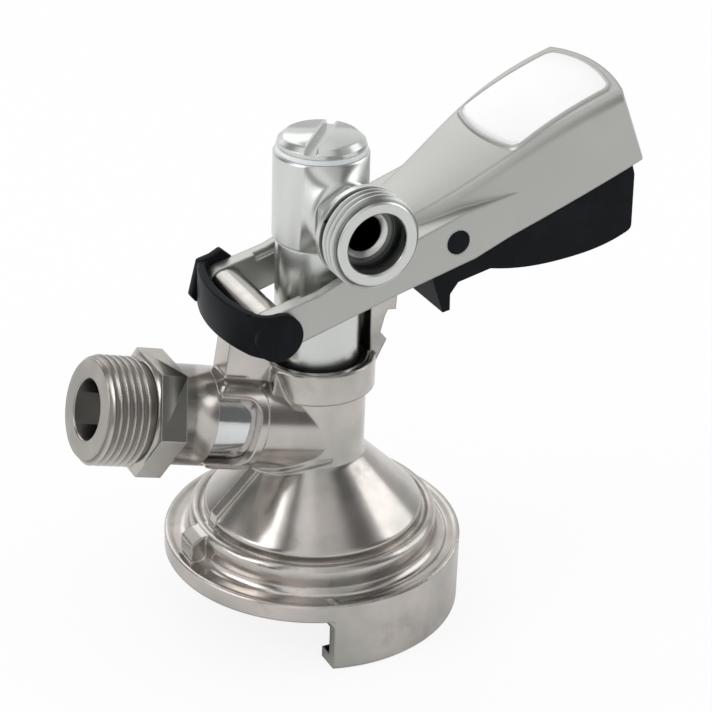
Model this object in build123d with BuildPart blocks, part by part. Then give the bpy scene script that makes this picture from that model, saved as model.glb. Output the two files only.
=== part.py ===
from build123d import *
from math import cos, radians, sin, sqrt, tan
import os

# Slider keg coupler, millimetres. Z is the probe axis, up; the skirt stands on z = 0.
# The lever grip points to +X, the gas inlet to -X and the beer outlet to -Y.

# fits
fit_gap = 0.02          # between pieces of one body
running_gap = 0.05      # between a shaft and the hole that it turns or slides in
moving_gap = 0.35       # between pieces that only pass each other

# bell, flange and skirt of the body casting
flange_radius = 38.0
flange_thickness = 4.0
skirt_depth = 14.2      # underside of the flange above the floor
lip_height = 2.9
lip_radius = flange_radius - 8.5        # half-width of the way in for a keg neck
pocket_radius = flange_radius - 4.7     # half-width of the slot for the keg flange
skirt_end_x = -11.6
rim_rise = 0.5
rim_round = 2.6
end_band_width = 1.3    # raised band on each cut end of the skirt
end_band_rise = 0.6
end_round = 3.0         # hollow corner between the flange and each cut end
rim_width = 3.8
ridge_width = 1.1       # fine ridge round the flange's edge
ridge_rise = 0.6
step_radius = flange_radius - 6.4
ledge_height = 24.6
ledge_groove = 0.9      # between the cone's foot and the bead on the ledge
shoulder_radius = step_radius - 3.8
shoulder_height = 27.2
cone_top = 42.4
neck_radius = 12.5
collar_radius = 14.66
collar_bottom = 61.4
collar_top = 69.5
chamber_radius = 15.0
chamber_height = 33.5
seal_outer = 24.0
seal_inner = 17.0
seal_groove = 3.0
seal_stand_out = 0.8
rib_thickness = 3.4
rib_rise = 1.8
lug_width = 6.5
lug_reach = step_radius + 3.6

# probe
piston_radius = 10.67
piston_bottom = 63.5
stem_radius = 7.8
beer_bore = 4.0
tip_height = 16.0
tip_radius = 5.2
tip_seal_radius = 12.0
tip_seal_thickness = 3.4
tip_ring_radius = 9.5
tip_ring_thickness = 2.2
piston_ring_height = piston_bottom + 2.0
ring_cord = 1.7         # O-ring cord diameter
head_ring_cord = 0.8
wiper_depth = 2.4
wiper_width = 1.9
spigot_radius = 6.9
spigot_rise = 23.4      # above the piston's shoulder
drive_pin_radius = 2.4
drive_pin_reach = 14.6
drive_pin_root = 7.5

# beer head
shoulder_washer = 0.6
head_bottom = 100.0     # shoulder of the piston
head_radius = 11.56
head_top = head_bottom + 22.8
top_washer_thickness = 1.2
top_washer_radius = 10.9
cap_radius = 10.54
cap_height = 2.7
cap_slot_width = 2.6
cap_slot_depth = 1.7
outlet_height = head_bottom + 10.2
outlet_reach = 29.3
outlet_thread_radius = 11.456
outlet_thread_length = 9.0
outlet_bore = 7.48
outlet_bore_depth = 8.2
outlet_neck_radius = 7.2
outlet_ring_radius = 8.7
port_radius = 5.0
cross_hole_radius = 2.5
gallery_radius = 9.0
gallery_half = 4.2

# gas inlet, along an axis that rises 16 degrees towards -X
gas_height = 49.16
gas_angle = 16.0
gas_boss_radius = 12.3
gas_boss_end = 34.0
gas_lip_width = 2.0      # lip along the foot of the gas boss, where it meets the cone
gas_lip_rise = 1.3
gas_bore_radius = 10.5
gas_bore_start = 13.5
gas_port_radius = 2.8
hex_start = 43.3
hex_end = 50.0
hex_across_flats = 27.0
gas_thread_radius = 13.22
gas_end = 63.0
gas_mouth_radius = 7.09
mouth_depth = 21.0
sleeve_wall = 1.6
sleeve_start = 16.5
sleeve_grip = 4.0       # length of sleeve that sits inside the nipple
window_start = 22.9
window_up = 9.2
window_down = 8.2
bead_width = 2.4
bead_rise = 0.8
ball_radius = 4.6
seat_thickness = 2.6
seat_hole = 3.4
retainer_thickness = 1.4

# pivot and latch post
pivot_x = -18.9
pivot_z = 84.9
barrel_radius = 5.0
barrel_half = 12.1
bush_radius = 4.0
bush_length = 6.0
pivot_pin_radius = 3.0
web_half = 3.5
post_half = 6.5
post_top = 86.2
gusset_foot_half = 11.2
gusset_top_half = 5.2

# lever, in its own frame: u runs along it from the pivot, v is square to it
lever_tilt = 15.0
lever_stroke = 31.0
arm_inner = 12.4
arm_outer = 16.0
arm_bottom = -4.4
hub_radius = 5.2
latch_radius = 38.2     # the trigger's nose stays outside this radius about the pivot
crotch_u = latch_radius + 0.6
front_wall = 2.7
hood_wall = 2.1
hood_foot = -3.2
grip_end = 107.4
grip_bulge = 3.6
grip_lean = 8.0
grip_half = 19.0
arm_recess_depth = 1.2
arm_recess_foot = 3.3
slot_clearance = 0.28
trigger_half = 14.0
trigger_gap = 0.35
trigger_pin_u = latch_radius + 12.3
trigger_pin_v = 1.9
trigger_pin_radius = 3.1
nose_half = 5.8
label_start = 72.6
label_end = 100.2
label_width = 26.6
label_thickness = 0.35
strap_thickness = 2.2
strap_half_height = 6.0
cap_disc_radius = strap_half_height
cap_disc_thickness = 2.5
check_spring_radius = 3.4
trigger_spring_radius = 3.8
trigger_floor = -17.8
trigger_corner_u = grip_end - 8.5
trigger_spring_u = 74.0
trigger_spring_seat = -12.0     # v of the seat in the trigger's floor
trigger_spring_roof = 15.9
spring_wire = 1.0

pivot = Vector(pivot_x, 0, pivot_z)
along = Vector(cos(radians(lever_tilt)), 0, sin(radians(lever_tilt)))
square = Vector(-sin(radians(lever_tilt)), 0, cos(radians(lever_tilt)))
lever_side = Plane(origin=pivot, x_dir=along, z_dir=(0, -1, 0))
gas_way = Vector(-cos(radians(gas_angle)), 0, sin(radians(gas_angle)))
gas_origin = Vector(0, 0, gas_height)
gas_plane = Plane(origin=gas_origin, x_dir=(0, 1, 0), z_dir=gas_way)
gas_side = Plane(origin=gas_origin, x_dir=gas_way, z_dir=(0, -1, 0))
gas_axis = Axis(gas_origin, gas_way)
outlet_plane = Plane(origin=(0, 0, outlet_height), x_dir=(1, 0, 0), z_dir=(0, -1, 0))
flange_top = skirt_depth + flange_thickness
bore_radius = piston_radius + running_gap


def corner(sketch, x, y):
    """The corner of a sketch nearest to a point given in the sketch's own plane."""
    return sketch.vertices().sort_by_distance(Vector(x, y, 0))[0]


def finish(piece, name):
    """Label one finished piece and write its STEP file."""
    piece.part.label = name
    export_step(piece.part, f"parts/{name}.step")


def lever_point(u, v, y=0):
    """A point given in the lever's own frame, and its place across the coupler."""
    return pivot + along * u + square * v + Vector(0, y, 0)


def lever_station(u):
    """Cross-section plane of the lever at u: local x is Y, local y is v."""
    return Plane(origin=pivot + along * u, x_dir=(0, 1, 0), z_dir=along)


def turned(points, axis=Axis.Z, plane=Plane.XZ):
    """A turned solid from its half outline."""
    with BuildPart() as blank:
        with BuildSketch(plane):
            with BuildLine():
                Polyline(*points, close=True)
            make_face()
        revolve(axis=axis)
    return blank.part


os.makedirs("parts", exist_ok=True)

# ---------------------------------------------------------------- body casting
with BuildPart() as skirt_ring:
    with BuildSketch(Plane.XZ) as skirt_profile:
        with BuildLine():
            Polyline(
                (lip_radius - 6, 0), (flange_radius, 0), (flange_radius, flange_top + rim_rise),
                (flange_radius - rim_width, flange_top + rim_rise),
                (flange_radius - rim_width, skirt_depth), (lip_radius - 6, skirt_depth), close=True)
        make_face()
        fillet(corner(skirt_profile, flange_radius, flange_top + rim_rise), rim_round)
        fillet(corner(skirt_profile, flange_radius - rim_width, flange_top + rim_rise), 0.7)
        chamfer(corner(skirt_profile, flange_radius, 0), 0.6)
    revolve(axis=Axis.Z)
    with BuildSketch(Plane.XY.offset(lip_height)) as pocket:
        Circle(pocket_radius)
        with Locations((-flange_radius, 0)):
            Rectangle(2 * flange_radius, 2 * pocket_radius)
    extrude(amount=skirt_depth - lip_height, mode=Mode.SUBTRACT)
    with BuildSketch() as way_in:
        Circle(lip_radius)
        with Locations((-flange_radius, 0)):
            Rectangle(2 * flange_radius, 2 * lip_radius)
    extrude(amount=lip_height, mode=Mode.SUBTRACT)
    with BuildSketch():
        with Locations((skirt_end_x, 0)):
            Rectangle(2 * flange_radius, 3 * flange_radius, align=(Align.MAX, Align.CENTER))
    extrude(amount=flange_top + 2 * rim_rise, mode=Mode.SUBTRACT)

with BuildPart() as body_casting:
    with BuildSketch(Plane.XZ) as bell:
        with BuildLine():
            Polyline(
                (0, skirt_depth), (flange_radius, skirt_depth), (flange_radius, flange_top + ridge_rise),
                (flange_radius - ridge_width, flange_top + ridge_rise),
                (flange_radius - 2 * ridge_width, flange_top),
                (step_radius, flange_top), (step_radius, ledge_height),
                (step_radius - 1.1, ledge_height + 0.9),
                (shoulder_radius + 2 * ledge_groove, ledge_height + 0.9),
                (shoulder_radius + ledge_groove, ledge_height), (shoulder_radius, ledge_height),
                (shoulder_radius, shoulder_height),
                (neck_radius, cone_top), (neck_radius, collar_bottom),
                (collar_radius, collar_bottom), (collar_radius, collar_top), (0, collar_top),
                close=True)
        make_face()
        fillet(corner(bell, flange_radius, flange_top + ridge_rise), 0.5)
        fillet(corner(bell, flange_radius - 2 * ridge_width, flange_top), 0.6)
        fillet(corner(bell, step_radius, flange_top), 2.2)
        fillet(corner(bell, step_radius, ledge_height), 1.4)
        fillet(corner(bell, shoulder_radius, shoulder_height), 1.4)
        fillet(corner(bell, neck_radius, cone_top), 1.6)
        fillet(corner(bell, neck_radius, collar_bottom), 0.8)
        fillet(corner(bell, collar_radius, collar_top), 0.7)
    revolve(axis=Axis.Z)
    add(skirt_ring.part)
    # raised band on each cut end, and the hollow corner under the flange beside it
    band = turned([(pocket_radius, skirt_depth + 1), (flange_radius, skirt_depth + 1),
                   (flange_radius, flange_top + rim_rise - rim_round + end_band_rise),
                   (flange_radius - 0.4 * rim_round, flange_top + rim_rise + 0.2),
                   (flange_radius - rim_round, flange_top + rim_rise + end_band_rise),
                   (flange_radius - rim_width, flange_top + rim_rise + 0.3),
                   (pocket_radius, flange_top)])
    corner_ring = turned([(pocket_radius, skirt_depth + 1), (pocket_radius, skirt_depth - end_round),
                          (flange_radius - 0.3, skirt_depth - end_round),
                          (flange_radius - 0.3, skirt_depth + 1)])
    with BuildPart(mode=Mode.PRIVATE) as end_blocks:
        with Locations((skirt_end_x, 0, flange_top)):
            Box(end_band_width, 3 * flange_radius, 12, align=(Align.MIN, Align.CENTER, Align.CENTER))
    with BuildPart(mode=Mode.PRIVATE) as corner_blocks:
        with Locations((skirt_end_x + 0.01, 0, skirt_depth + 1)):
            Box(end_round, 3 * flange_radius, end_round + 1, align=(Align.MAX, Align.CENTER, Align.MAX))
        with Locations((skirt_end_x - end_round, 0, skirt_depth - end_round)):
            Cylinder(end_round, 3 * flange_radius, rotation=(90, 0, 0), mode=Mode.SUBTRACT)
    add(band & end_blocks.part)
    add(corner_ring & corner_blocks.part)
    # gas boss with the raised bead round its window
    with BuildSketch(gas_plane):
        Circle(gas_boss_radius)
    extrude(amount=gas_boss_end)
    with BuildSketch(gas_side.offset(gas_bore_radius * 0.3)) as bead:
        with Locations(((window_start - bead_width + gas_boss_end) / 2, (window_down - window_up) / 2)):
            RectangleRounded(gas_boss_end - window_start + bead_width - 0.02,
                             window_up + window_down + 2 * bead_width, 4.0)
    bead_block = extrude(amount=2 * gas_boss_radius, mode=Mode.PRIVATE)
    bead_round = Solid.make_cylinder(gas_boss_radius + bead_rise, gas_boss_end, gas_plane)
    add(bead_block & bead_round)
    # lip along the foot of the boss, a band that follows the cone
    cone_slope = (cone_top - shoulder_height) / (shoulder_radius - neck_radius)
    lip_top = gas_lip_width * sqrt(1 + cone_slope**2)
    lip_band = turned([(0, cone_top - 12), (shoulder_radius, shoulder_height - 8),
                       (shoulder_radius, shoulder_height + lip_top), (neck_radius, cone_top + lip_top),
                       (0, cone_top + lip_top)])
    lip_round = Solid.make_cylinder(gas_boss_radius + gas_lip_rise, gas_boss_end - 12, gas_plane)
    add(lip_round & lip_band)
    # gusset that carries the bracket's foot over to the collar
    with BuildSketch(Plane.XY.offset(collar_bottom - 6)):
        with Locations((pivot_x + 6, 0)):
            Rectangle(11, 2 * gusset_foot_half)
    with BuildSketch(Plane.XY.offset(collar_top - 0.3)):
        with Locations((pivot_x + 8, 0)):
            Rectangle(5, 2 * gusset_top_half)
    loft()
    # upright web and pivot barrel
    with BuildSketch(Plane.XZ) as web:
        with BuildLine():
            Polyline(
                (pivot_x - 6.5, 62), (pivot_x - 7.6, 68.0), (pivot_x - barrel_radius, pivot_z),
                (pivot_x + barrel_radius, pivot_z), (pivot_x + barrel_radius - 0.2, collar_top + 1.5),
                (-collar_radius + 2.5, collar_top - 1.5), (-neck_radius, 60), close=True)
        make_face()
    extrude(amount=web_half, both=True)
    with BuildSketch(Plane.XZ):
        with Locations((pivot_x, pivot_z)):
            Circle(barrel_radius)
    extrude(amount=barrel_half, both=True)
    # latch post with its two teeth, cut back to clear the piston
    with BuildSketch(Plane.XZ) as post:
        with BuildLine():
            Polyline(
                (neck_radius - 1, collar_bottom), (13.3, 66.9), (16.0, 72.1), (14.2, 74.3),
                (15.3, 78.7), (16.1, 80.2), (18.3, 79.9), (18.6, post_top - 1.2),
                (17.4, post_top), (neck_radius - 1, post_top), close=True)
        make_face()
    extrude(amount=post_half, both=True)
    # rib and lug under the gas inlet
    with BuildSketch(Plane.XZ):
        with BuildLine():
            Polyline(
                (-neck_radius, cone_top - 4), (-neck_radius, cone_top + rib_rise),
                (-shoulder_radius, shoulder_height + rib_rise), (-shoulder_radius - 1, ledge_height),
                (-shoulder_radius + 3, ledge_height - 3), close=True)
        make_face()
    extrude(amount=rib_thickness / 2, both=True)
    with BuildSketch(Plane.XZ) as lug:
        with BuildLine():
            Polyline(
                (-shoulder_radius + 3, ledge_height + 0.9), (-step_radius - 0.6, ledge_height + 0.4),
                (-lug_reach, ledge_height - 1.4), (-lug_reach, flange_top - 1),
                (-shoulder_radius + 3, flange_top - 1), close=True)
        make_face()
    extrude(amount=lug_width / 2, both=True)
    # bores, from the seal groove at the bottom to the wiper seat in the collar
    add(turned([(0, skirt_depth - 1), (chamber_radius, skirt_depth - 1), (chamber_radius, chamber_height),
                (bore_radius, cone_top - 2.5), (bore_radius, collar_top - wiper_depth),
                (bore_radius + wiper_width, collar_top - wiper_depth),
                (bore_radius + wiper_width, collar_top + 0.01), (piston_radius + 0.45, collar_top + 0.01),
                (piston_radius + 0.45, post_top + 2), (0, post_top + 2)]), mode=Mode.SUBTRACT)
    with BuildSketch(Plane.XY.offset(skirt_depth)):
        Circle(seal_outer)
        Circle(seal_inner, mode=Mode.SUBTRACT)
    extrude(amount=seal_groove, mode=Mode.SUBTRACT)
    # gas way: sleeve bore, port into the neck and the window
    with BuildSketch(gas_plane.offset(gas_bore_start)):
        Circle(gas_bore_radius)
    extrude(amount=gas_boss_end - gas_bore_start + 1, mode=Mode.SUBTRACT)
    with BuildSketch(gas_plane.offset(bore_radius - 2)):
        Circle(gas_port_radius)
    extrude(amount=gas_bore_start - bore_radius + 3, mode=Mode.SUBTRACT)
    with BuildSketch(gas_side.offset(gas_bore_radius * 0.3)) as window:
        with Locations(((window_start + gas_boss_end + 5) / 2, (window_down - window_up) / 2)):
            RectangleRounded(gas_boss_end - window_start + 5, window_up + window_down, 3.6)
    extrude(amount=2 * gas_boss_radius, mode=Mode.SUBTRACT)
    # pivot barrel bore with a wider seat for a bush at each end
    with BuildSketch(Plane.XZ):
        with Locations((pivot_x, pivot_z)):
            Circle(pivot_pin_radius + moving_gap)
    extrude(amount=barrel_half + 1, both=True, mode=Mode.SUBTRACT)
    for side in (-1, 1):
        with BuildSketch(Plane.XZ.offset(side * (barrel_half - bush_length))):
            with Locations((pivot_x, pivot_z)):
                Circle(bush_radius)
        extrude(amount=side * (bush_length + 1), mode=Mode.SUBTRACT)
finish(body_casting, "body_casting")

with BuildPart() as keg_seal:
    with BuildSketch(Plane.XY.offset(skirt_depth - seal_stand_out)) as keg_seal_ring:
        Circle(seal_outer - 0.15)
        Circle(seal_inner + 0.15, mode=Mode.SUBTRACT)
    extrude(amount=seal_groove + seal_stand_out)
    chamfer(keg_seal.faces().sort_by(Axis.Z)[0].edges(), 0.5)
finish(keg_seal, "keg_seal")

with BuildPart() as neck_wiper:
    wiper_bottom = collar_top - wiper_depth + fit_gap
    wiper_outer = bore_radius + wiper_width - fit_gap
    with BuildSketch(Plane.XZ):
        with BuildLine():
            Polyline((bore_radius, wiper_bottom), (wiper_outer, wiper_bottom),
                     (wiper_outer, collar_top - 0.5), (bore_radius + 0.9, collar_top - 0.5),
                     (bore_radius, collar_top - 1.2), close=True)
        make_face()
    revolve(axis=Axis.Z)
finish(neck_wiper, "neck_wiper")

with BuildPart() as pivot_bushes:
    for side in (-1, 1):
        with BuildSketch(Plane.XZ.offset(side * (barrel_half - bush_length + fit_gap))):
            with Locations((pivot_x, pivot_z)):
                Circle(bush_radius - fit_gap)
                Circle(pivot_pin_radius + running_gap, mode=Mode.SUBTRACT)
        extrude(amount=side * (bush_length - fit_gap))
finish(pivot_bushes, "pivot_bushes")

# ------------------------------------------------------------------ gas inlet
sleeve_radius = gas_bore_radius - fit_gap
sleeve_bore = sleeve_radius - sleeve_wall
sleeve_end = gas_boss_end + sleeve_grip
seat_end = sleeve_end - 0.5
ball_centre = seat_end - seat_thickness - sqrt(ball_radius**2 - seat_hole**2)

with BuildPart() as gas_nipple:
    with BuildSketch(gas_side) as nipple_profile:
        with BuildLine():
            Polyline(
                (gas_boss_end + fit_gap, sleeve_radius + fit_gap), (gas_boss_end + fit_gap, gas_boss_radius),
                (hex_end, gas_boss_radius), (hex_end, gas_thread_radius - 0.9),
                (hex_end + 1.6, gas_thread_radius - 0.9), (hex_end + 2.2, gas_thread_radius),
                (gas_end, gas_thread_radius), (gas_end, gas_mouth_radius),
                (gas_end - mouth_depth, gas_mouth_radius), (sleeve_end, gas_mouth_radius),
                (sleeve_end, sleeve_radius + fit_gap), close=True)
        make_face()
        chamfer(corner(nipple_profile, gas_end, gas_thread_radius), 1.3)
        chamfer(corner(nipple_profile, gas_end, gas_mouth_radius), 0.5)
    revolve(axis=gas_axis)
    with BuildSketch(gas_plane.offset(hex_start)):
        RegularPolygon(hex_across_flats / 2, 6, major_radius=False, rotation=0)
        Circle(sleeve_radius + 1, mode=Mode.SUBTRACT)
    hexagon = extrude(amount=hex_end - hex_start, mode=Mode.PRIVATE)
    crown = turned(
        [(hex_start - 1, 0), (hex_start - 1, hex_across_flats / 2 - 1), (hex_start + 1.5, hex_across_flats),
         (hex_end - 2.4, hex_across_flats), (hex_end + 0.6, hex_across_flats / 2 - 0.9), (hex_end + 0.6, 0)],
        axis=gas_axis, plane=gas_side)
    add(hexagon & crown)
finish(gas_nipple, "gas_nipple")

with BuildPart() as gas_sleeve:
    with BuildSketch(gas_plane.offset(sleeve_start)):
        Circle(sleeve_radius)
        Circle(sleeve_bore, mode=Mode.SUBTRACT)
    extrude(amount=sleeve_end - sleeve_start - fit_gap)
    groove_centre = sleeve_start + 3
    add(turned([(groove_centre - 1.1, sleeve_radius - 1), (groove_centre - 1.1, sleeve_radius + 1),
                (groove_centre + 1.1, sleeve_radius + 1), (groove_centre + 1.1, sleeve_radius - 1)],
               axis=gas_axis, plane=gas_side), mode=Mode.SUBTRACT)
finish(gas_sleeve, "gas_sleeve")

with BuildPart() as gas_sleeve_o_ring:
    with BuildSketch(gas_side):
        with Locations((groove_centre, sleeve_radius - 0.48)):
            Circle(0.48)
    revolve(axis=gas_axis)
finish(gas_sleeve_o_ring, "gas_sleeve_o_ring")

with BuildPart() as gas_check_seat:
    with BuildSketch(gas_plane.offset(seat_end - seat_thickness)):
        Circle(sleeve_bore - fit_gap)
        Circle(seat_hole, mode=Mode.SUBTRACT)
    extrude(amount=seat_thickness)
finish(gas_check_seat, "gas_check_seat")

with BuildPart() as gas_check_ball:
    ball_spot = gas_origin + gas_way * (ball_centre - 0.05)
    add(Solid.make_sphere(ball_radius, Plane(origin=ball_spot, z_dir=gas_way), -90, 90, 360))
finish(gas_check_ball, "gas_check_ball")

with BuildPart() as gas_check_retainer:
    with BuildSketch(gas_plane.offset(sleeve_start + 0.4)):
        Circle(sleeve_bore - fit_gap)
        Circle(1.6, mode=Mode.SUBTRACT)
        with PolarLocations(5.2, 6):
            Circle(1.5, mode=Mode.SUBTRACT)
    extrude(amount=retainer_thickness)
finish(gas_check_retainer, "gas_check_retainer")


def coil(start, way, length, radius, wire, turns):
    """Compression spring: a round wire swept along a helix from start."""
    base = Plane(origin=start + way * (wire / 2), z_dir=way)
    path = base.from_local_coords(Edge.make_helix((length - wire) / turns, length - wire, radius))
    with BuildPart() as wound:
        with BuildSketch(Plane(origin=path @ 0, z_dir=path % 0)):
            Circle(wire / 2)
        sweep(path=path)
    return wound.part


spring_foot = sleeve_start + 0.4 + retainer_thickness
with BuildPart() as gas_check_spring:
    add(coil(gas_origin + gas_way * (spring_foot + 0.05), gas_way,
             ball_centre - spring_foot - sqrt(ball_radius**2 - check_spring_radius**2) - 0.45,
             check_spring_radius, spring_wire, 4))
finish(gas_check_spring, "gas_check_spring")

# ---------------------------------------------------------------------- probe
ring_seat = piston_radius - ring_cord - 0.1
head_foot = head_bottom + shoulder_washer
head_ring_heights = (head_foot + 2.6, head_top - 2.6)
head_ring_seat = spigot_radius - head_ring_cord - 0.05
with BuildPart() as probe_body:
    add(turned([
        (beer_bore, tip_height), (tip_radius, tip_height),
        (tip_radius, tip_height + tip_ring_thickness + tip_seal_thickness),
        (stem_radius, tip_height + tip_ring_thickness + tip_seal_thickness), (stem_radius, piston_bottom),
        (piston_radius - 0.5, piston_bottom), (piston_radius, piston_bottom + 0.5),
        (piston_radius, piston_ring_height - 1.0), (ring_seat, piston_ring_height - 1.0),
        (ring_seat, piston_ring_height + 1.0), (piston_radius, piston_ring_height + 1.0),
        (piston_radius, head_bottom), (spigot_radius, head_bottom),
        (spigot_radius, head_bottom + spigot_rise), (beer_bore, head_bottom + spigot_rise)]))
    with BuildSketch(outlet_plane):
        Circle(cross_hole_radius)
    extrude(amount=2 * spigot_radius, both=True, mode=Mode.SUBTRACT)
    with BuildSketch(Plane.YZ):
        with Locations((0, outlet_height)):
            Circle(cross_hole_radius)
    extrude(amount=2 * spigot_radius, both=True, mode=Mode.SUBTRACT)
    # blind holes for the drive pins
    pin_height = pivot_z - pivot_x * tan(radians(lever_tilt))
    for side in (-1, 1):
        with BuildSketch(Plane.XZ.offset(side * drive_pin_root)):
            with Locations((0, pin_height)):
                Circle(drive_pin_radius + fit_gap)
        extrude(amount=side * piston_radius, mode=Mode.SUBTRACT)
    for height in head_ring_heights:
        add(turned([(head_ring_seat, height - 0.5), (spigot_radius + 0.01, height - 0.5),
                    (spigot_radius + 0.01, height + 0.5), (head_ring_seat, height + 0.5)]),
            mode=Mode.SUBTRACT)
finish(probe_body, "probe_body")

with BuildPart() as drive_pins:
    for side in (-1, 1):
        with BuildSketch(Plane.XZ.offset(side * (drive_pin_root + fit_gap))):
            with Locations((0, pin_height)):
                Circle(drive_pin_radius)
        extrude(amount=side * (drive_pin_reach - drive_pin_root - fit_gap))
finish(drive_pins, "drive_pins")

with BuildPart() as piston_o_ring:
    with BuildSketch(Plane.XZ):
        with Locations((bore_radius - 0.01 - ring_cord / 2, piston_ring_height)):
            Circle(ring_cord / 2)
    revolve(axis=Axis.Z)
finish(piston_o_ring, "piston_o_ring")

with BuildPart() as probe_tip_seal:
    with BuildSketch(Plane.XY.offset(tip_height + tip_ring_thickness + fit_gap)):
        Circle(tip_seal_radius)
        Circle(tip_radius + fit_gap, mode=Mode.SUBTRACT)
    extrude(amount=tip_seal_thickness - 2 * fit_gap)
    fillet(probe_tip_seal.edges().filter_by(GeomType.CIRCLE).group_by(SortBy.RADIUS)[-1], 0.8)
finish(probe_tip_seal, "probe_tip_seal")

with BuildPart() as probe_tip_ring:
    with BuildSketch(Plane.XY.offset(tip_height)):
        Circle(tip_ring_radius)
        Circle(tip_radius + fit_gap, mode=Mode.SUBTRACT)
    extrude(amount=tip_ring_thickness)
    outer_rims = probe_tip_ring.edges().filter_by(GeomType.CIRCLE).group_by(SortBy.RADIUS)[-1]
    chamfer(outer_rims.sort_by(Axis.Z)[0], 0.8)
finish(probe_tip_ring, "probe_tip_ring")

# ------------------------------------------------------------------ beer head
head_bore = spigot_radius + running_gap
with BuildPart() as outlet_head:
    add(turned([
        (0, head_foot), (head_radius - 0.5, head_foot), (head_radius, head_foot + 0.5),
        (head_radius, head_top - 0.5), (head_radius - 0.5, head_top), (0, head_top)]))
    with BuildSketch(Plane.YZ) as outlet_profile:
        with BuildLine():
            Polyline(
                (0, outlet_height), (0, outlet_height + outlet_ring_radius),
                (-head_radius - 1.6, outlet_height + outlet_ring_radius),
                (-head_radius - 1.6, outlet_height + port_radius + 1),
                (outlet_thread_length - outlet_reach - 0.6, outlet_height + port_radius + 1),
                (outlet_thread_length - outlet_reach, outlet_height + outlet_thread_radius),
                (-outlet_reach, outlet_height + outlet_thread_radius), (-outlet_reach, outlet_height),
                close=True)
        make_face()
        chamfer(corner(outlet_profile, -outlet_reach, outlet_height + outlet_thread_radius), 1.0)
    revolve(axis=Axis((0, 0, outlet_height), (0, 1, 0)))
    # hexagonal neck between the head and the thread
    with BuildSketch(outlet_plane.offset(head_radius - 1)):
        RegularPolygon(outlet_neck_radius, 6, major_radius=False, rotation=30)
    extrude(amount=outlet_reach - outlet_thread_length - head_radius + 1.4)
    add(turned([
        (0, head_foot - 1), (head_bore, head_foot - 1), (head_bore, outlet_height - gallery_half),
        (gallery_radius, outlet_height - gallery_half + 1),
        (gallery_radius, outlet_height + gallery_half - 1), (head_bore, outlet_height + gallery_half),
        (head_bore, head_top + 1), (0, head_top + 1)]),
        mode=Mode.SUBTRACT)
    with BuildSketch(outlet_plane.offset(outlet_reach - outlet_bore_depth)):
        Circle(outlet_bore)
    extrude(amount=outlet_bore_depth + 1, mode=Mode.SUBTRACT)
    with BuildSketch(outlet_plane.offset(head_bore - 0.5)):
        Circle(port_radius)
    extrude(amount=outlet_reach - head_bore, mode=Mode.SUBTRACT)
finish(outlet_head, "outlet_head")

with BuildPart() as head_o_rings:
    for height in head_ring_heights:
        with BuildSketch(Plane.XZ):
            with Locations((spigot_radius - head_ring_cord / 2, height)):
                Circle(head_ring_cord / 2)
        revolve(axis=Axis.Z)
finish(head_o_rings, "head_o_rings")

with BuildPart() as head_washer:
    with BuildSketch(Plane.XY.offset(head_bottom + fit_gap)):
        Circle(piston_radius)
        Circle(spigot_radius + fit_gap, mode=Mode.SUBTRACT)
    extrude(amount=shoulder_washer - fit_gap - running_gap)
finish(head_washer, "head_washer")

with BuildPart() as cap_washer:
    with BuildSketch(Plane.XY.offset(head_top + running_gap)):
        Circle(top_washer_radius)
        Circle(spigot_radius + fit_gap, mode=Mode.SUBTRACT)
    extrude(amount=top_washer_thickness - running_gap - fit_gap)
finish(cap_washer, "cap_washer")

cap_foot = head_top + top_washer_thickness
with BuildPart() as head_cap_screw:
    add(turned([
        (0, outlet_height + gallery_half), (beer_bore - fit_gap - 0.6, outlet_height + gallery_half),
        (beer_bore - fit_gap, outlet_height + gallery_half + 0.6), (beer_bore - fit_gap, cap_foot),
        (cap_radius, cap_foot), (cap_radius, cap_foot + 1.2), (cap_radius - 1.7, cap_foot + cap_height),
        (0, cap_foot + cap_height)]))
    with BuildSketch(Plane.XY.offset(cap_foot + cap_height)):
        Rectangle(cap_slot_width, 3 * cap_radius, rotation=-8)
    extrude(amount=-cap_slot_depth, mode=Mode.SUBTRACT)
finish(head_cap_screw, "head_cap_screw")

# ---------------------------------------------------------------------- lever
hood_stations = [  # u, half-width at v = 0, half-width at the top edge, height of the top edge
    (crotch_u, 12.4, 8.8, 8.6), (48.0, 13.6, 11.2, 10.6), (58.0, 15.0, 13.6, 13.4), (68.0, 16.2, 15.6, 16.6),
    (80.0, 17.2, 17.3, 19.8), (92.0, 17.8, 18.2, 21.6), (grip_end + 3, 17.6, 17.0, 22.6)]


def hood(inset, foot):
    """The hood's body, drawn in from its outer surface by inset and reaching down to foot."""
    with BuildPart() as shape:
        for u, low, high, top in hood_stations:
            with BuildSketch(lever_station(u)) as section:
                with BuildLine():
                    slope = (high - low) / top
                    start = (low + slope * foot - inset, foot)
                    rise = top - inset
                    edge = low + slope * rise - inset
                    Polyline((-edge, rise), (-start[0], foot), (start[0], foot), (edge, rise))
                    ThreePointArc((edge, rise), (0, rise + 0.9), (-edge, rise))
                make_face()
                for side in (-1, 1):
                    fillet(corner(section, side * edge, rise), 2.6)
        loft()
    return shape.part


def grip_plan(inset):
    """Plan outline of the whole lever, with its bulged end, as a tall leaning block."""
    lean = radians(grip_lean)
    tilted = (square * cos(lean) - along * sin(lean)).normalized()
    across = Plane(origin=pivot + square * -12, x_dir=along.rotate(Axis.Y, -grip_lean), z_dir=tilted)
    with BuildPart() as block:
        with BuildSketch(across) as plan:
            with BuildLine():
                far = grip_end - grip_bulge - inset
                wide = grip_half - inset
                ThreePointArc((far, -wide), (grip_end - inset, 0), (far, wide))
                Polyline((far, wide), (-20, wide), (-20, -wide), (far, -wide))
            make_face()
            for side in (-1, 1):
                fillet(corner(plan, far, side * wide), 4.0)
        extrude(amount=50)
    return block.part


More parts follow.
